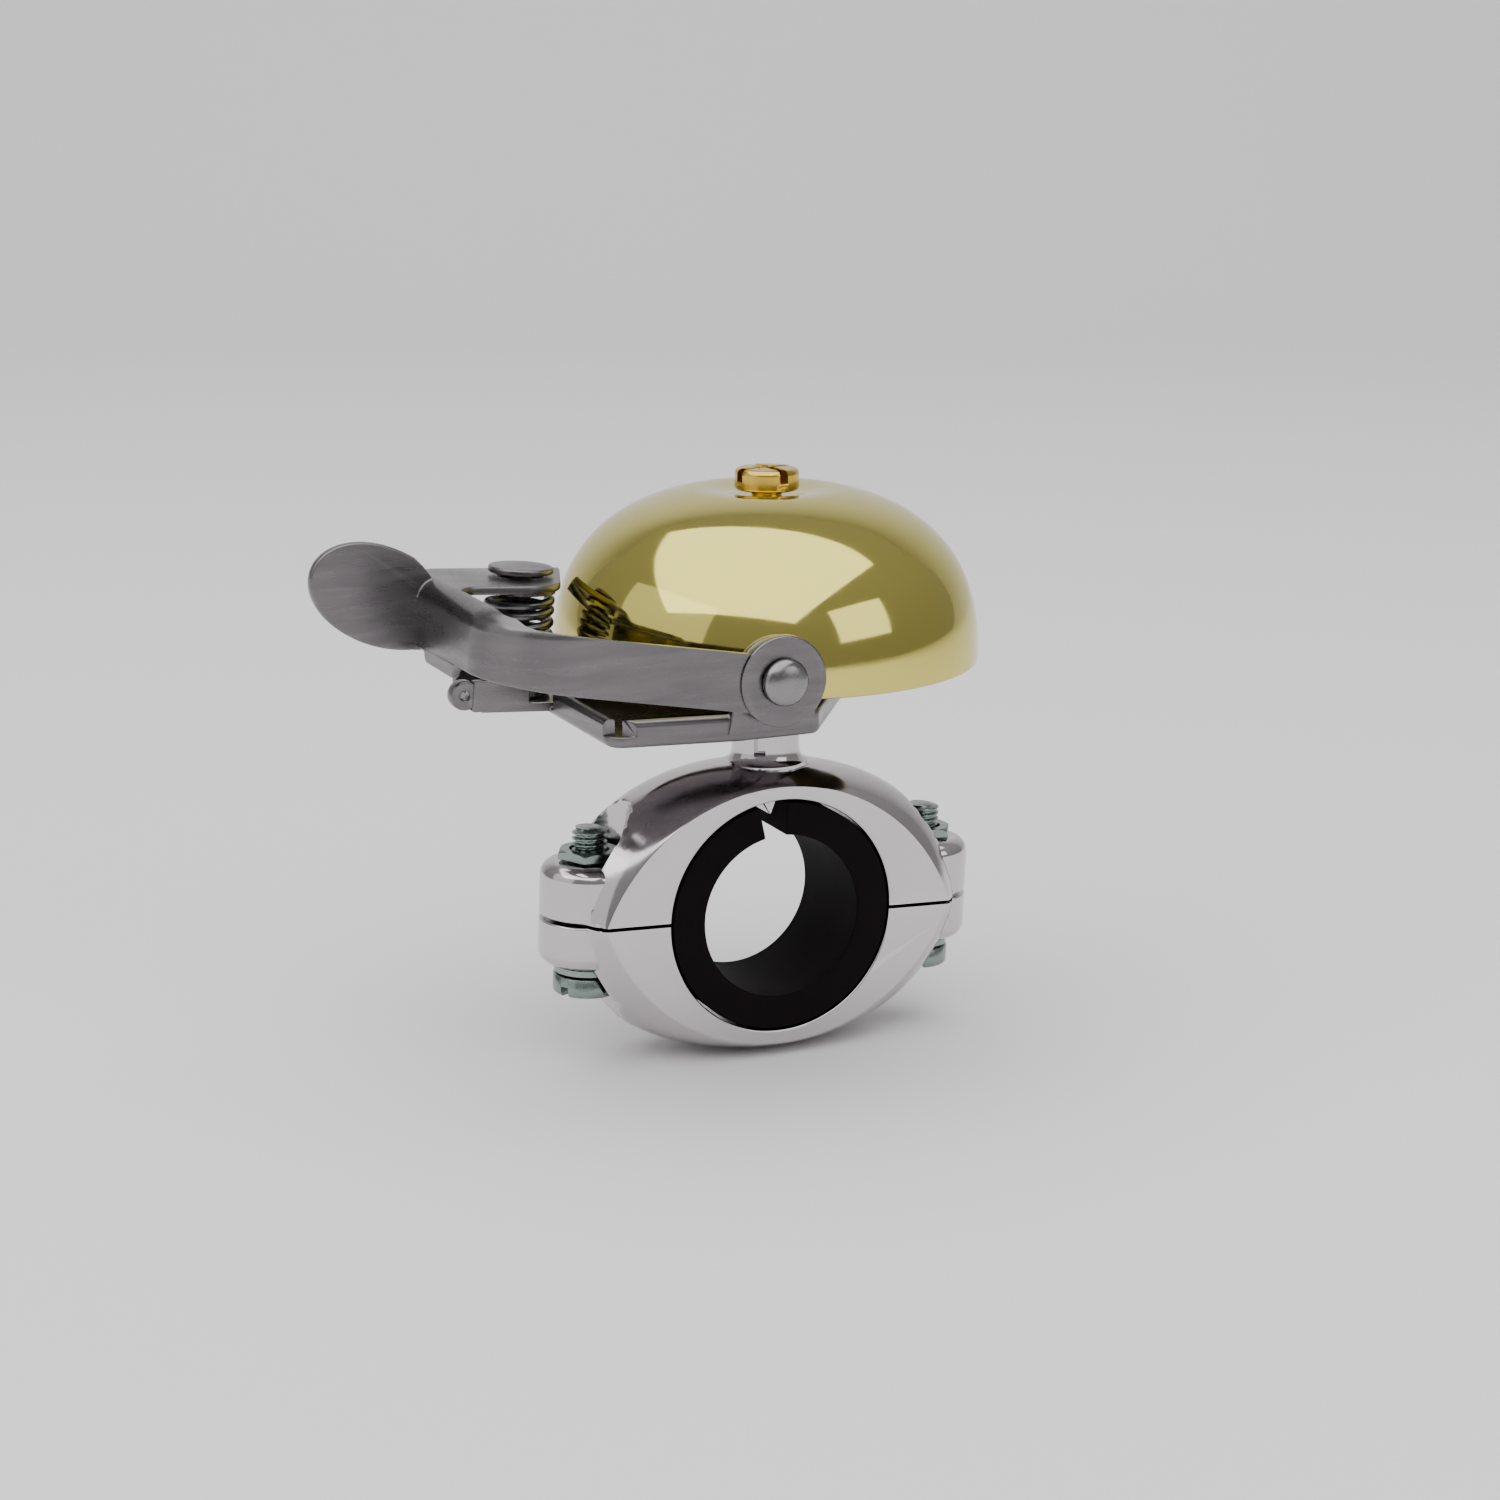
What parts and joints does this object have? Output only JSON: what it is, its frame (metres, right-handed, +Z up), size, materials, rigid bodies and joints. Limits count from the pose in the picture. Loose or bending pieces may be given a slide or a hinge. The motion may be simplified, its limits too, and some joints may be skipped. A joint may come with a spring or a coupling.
{
  "type": "bicycle bell",
  "caption": "Brass dome bell struck by a sprung thumb lever, on a split ring clamp with a rubber sleeve for a handlebar.",
  "frame": {"origin": "centre of the bell's footprint in X and Y, at the height of the clamp's lowest point", "axes": "+Z up through the dome, -X towards the thumb paddle, Y along the handlebar; the lever's arm is on the -Y side"},
  "size_m": [0.0924, 0.0621, 0.0788],
  "materials": {
    "polished_brass": "mirror polished, slightly greenish brass",
    "amber_brass": "turned, darker amber brass",
    "satin_steel": "satin plated pressed steel",
    "bright_steel": "bright plated steel",
    "spring_steel": "dark drawn spring wire",
    "zinc_plate": "zinc plated, faintly green",
    "polished_aluminium": "cast and polished",
    "fibre": "red-brown fibre",
    "black_rubber": "matt black"
  },
  "bodies": {
    "mount": {"clamp_upper": "polished_aluminium", "clamp_nut_left": "zinc_plate", "clamp_nut_right": "zinc_plate", "bar_shim": "black_rubber", "base_bracket": "satin_steel", "dome_post": "bright_steel", "post_lock_washer": "zinc_plate", "dome_washer": "fibre", "bell_dome": "polished_brass", "dome_screw": "amber_brass", "pivot_rivet": "bright_steel", "pivot_washer": "bright_steel", "guide_pin": "satin_steel", "return_spring": "spring_steel", "spring_seat": "bright_steel"},
    "lever": {"lever": "satin_steel", "spring_collar": "bright_steel"},
    "clamp_cap": {"clamp_lower": "polished_aluminium", "bolt_washer_left": "zinc_plate", "bolt_washer_right": "zinc_plate"},
    "bolt_left": {"clamp_bolt_left": "zinc_plate"},
    "bolt_right": {"clamp_bolt_right": "zinc_plate"}
  },
  "joints": [
    {"name": "lever_press", "type": "hinge", "parent": "mount", "child": "lever", "pos_m": [0.0046, -0.0284, 0.0574], "axis": [0, -1, 0], "range_deg": [-1, 8], "deforming": ["return_spring"]},
    {"name": "cap_open", "type": "slide", "parent": "mount", "child": "clamp_cap", "axis": [-0.0436, 0, -0.999], "range_m": [0, 0.004]},
    {"name": "bolt_left_turn", "type": "hinge", "parent": "clamp_cap", "child": "bolt_left", "pos_m": [-0.00988, 0.00275, 0.01283], "axis": [-0.0436, 0, -0.999], "range_deg": [0, 1800]},
    {"name": "bolt_right_turn", "type": "hinge", "parent": "clamp_cap", "child": "bolt_right", "pos_m": [0.03908, 0.00275, 0.01069], "axis": [-0.0436, 0, -0.999], "range_deg": [0, 1800]}
  ],
  "couplings": [
    {"joint": "bolt_left_turn", "follows": "cap_open", "rad_per_m": 7854},
    {"joint": "bolt_right_turn", "follows": "cap_open", "rad_per_m": 7854}
  ]
}
